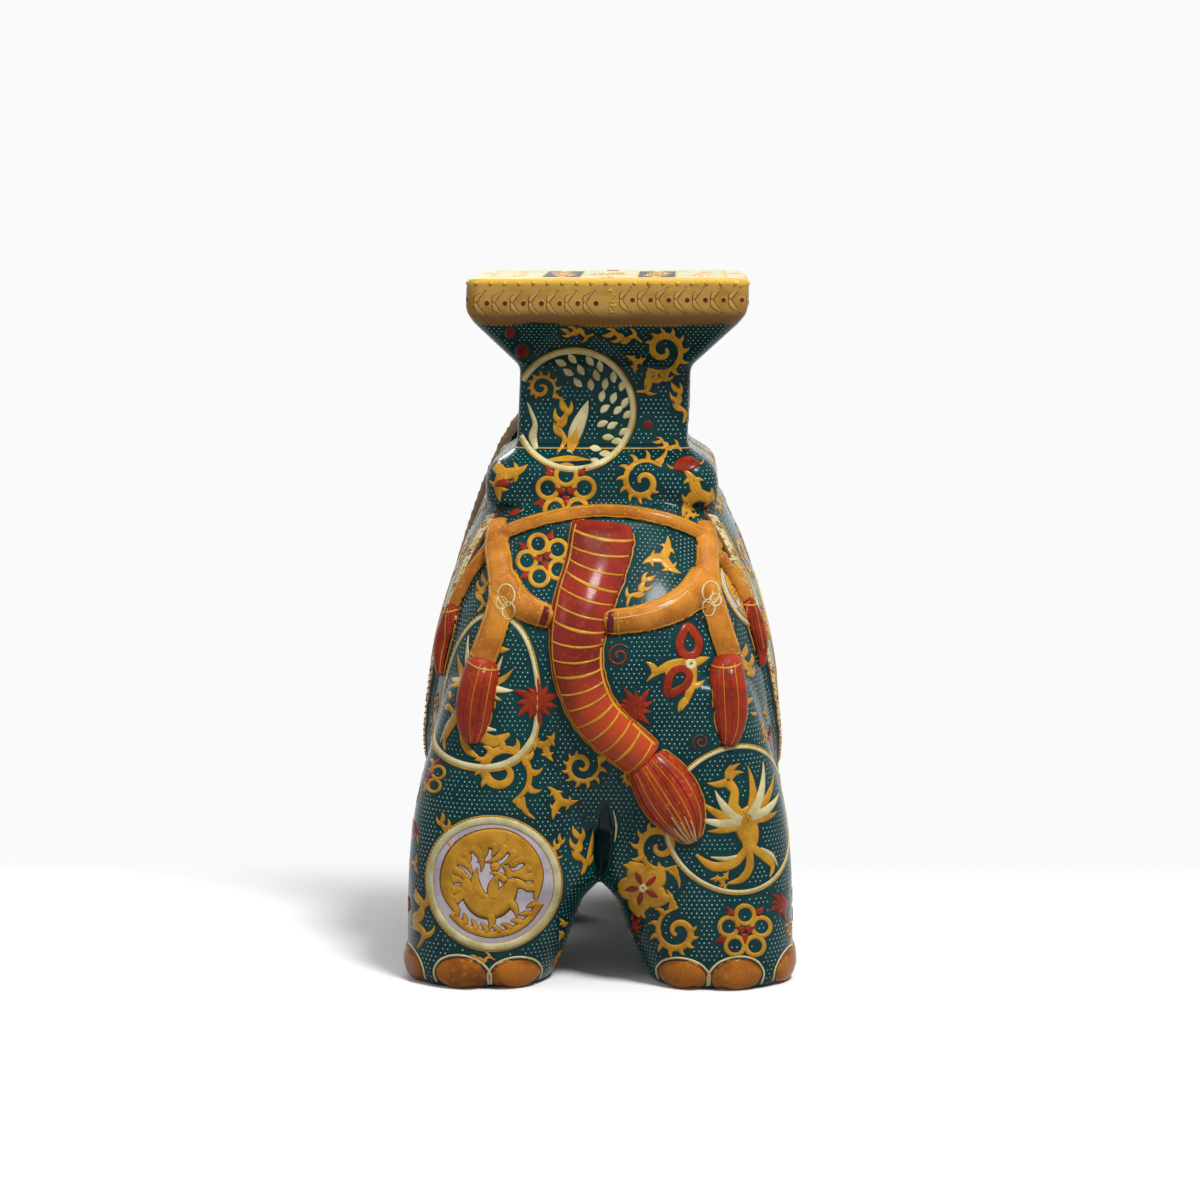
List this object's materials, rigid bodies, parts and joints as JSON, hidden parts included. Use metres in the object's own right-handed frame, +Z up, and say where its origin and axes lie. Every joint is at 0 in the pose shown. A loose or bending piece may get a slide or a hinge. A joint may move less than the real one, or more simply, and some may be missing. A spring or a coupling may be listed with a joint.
{
  "type": "elephant plant stand",
  "caption": "Glazed ceramic elephant carrying a square plant tray on a saddle pedestal, with relief harness, tassels, tail and blanket.",
  "frame": {"origin": "middle of the bounding box, on the floor under the feet", "axes": "+Z up, +Y towards the head, +X to the elephant's right"},
  "size_m": [0.2546, 0.419, 0.45],
  "materials": {
    "ground_glaze": "deep teal-green gloss glaze with a grid of pale dots and gold enamel",
    "tray_glaze": "ochre and gold gloss glaze with a leaf border",
    "blanket_glaze": "teal-green gloss glaze with a cream and gold border",
    "tail_red": "brick red gloss glaze with gold rings",
    "tuft_red": "orange-red gloss glaze with brush streaks",
    "harness_orange": "orange-brown gloss glaze with gold lines",
    "tassel_red": "dark red gloss glaze with gold lines",
    "nail_amber": "amber gloss glaze with a cream outline",
    "tusk_ivory": "cream gloss glaze",
    "eye_glaze": "black gloss glaze"
  },
  "bodies": {
    "root": {"body_left_half": "ground_glaze", "body_right_half": "ground_glaze", "rear_left_leg": "ground_glaze", "rear_right_leg": "ground_glaze", "front_left_leg": "ground_glaze", "front_right_leg": "ground_glaze", "saddle_pad": "ground_glaze", "pedestal_column": "ground_glaze", "head": "ground_glaze", "neck": "ground_glaze", "trunk": "ground_glaze", "left_ear": "ground_glaze", "right_ear": "ground_glaze", "lower_lip": "ground_glaze", "plant_tray": "tray_glaze", "saddle_blanket_left": "blanket_glaze", "saddle_blanket_right": "blanket_glaze", "tail": "tail_red", "tail_tuft": "tuft_red", "crupper_top_strap": "harness_orange", "crupper_left_drop": "harness_orange", "crupper_right_drop": "harness_orange", "crupper_left_loop": "harness_orange", "crupper_right_loop": "harness_orange", "rear_left_cord": "harness_orange", "rear_right_cord": "harness_orange", "flank_left_cord": "harness_orange", "flank_right_cord": "harness_orange", "breast_strap": "harness_orange", "rear_left_tassel": "tassel_red", "rear_right_tassel": "tassel_red", "flank_left_tassel": "tassel_red", "flank_right_tassel": "tassel_red", "rear_left_toenails": "nail_amber", "rear_right_toenails": "nail_amber", "front_left_toenails": "nail_amber", "front_right_toenails": "nail_amber", "left_tusk": "tusk_ivory", "right_tusk": "tusk_ivory", "left_eye": "eye_glaze", "right_eye": "eye_glaze"}
  },
  "joints": []
}
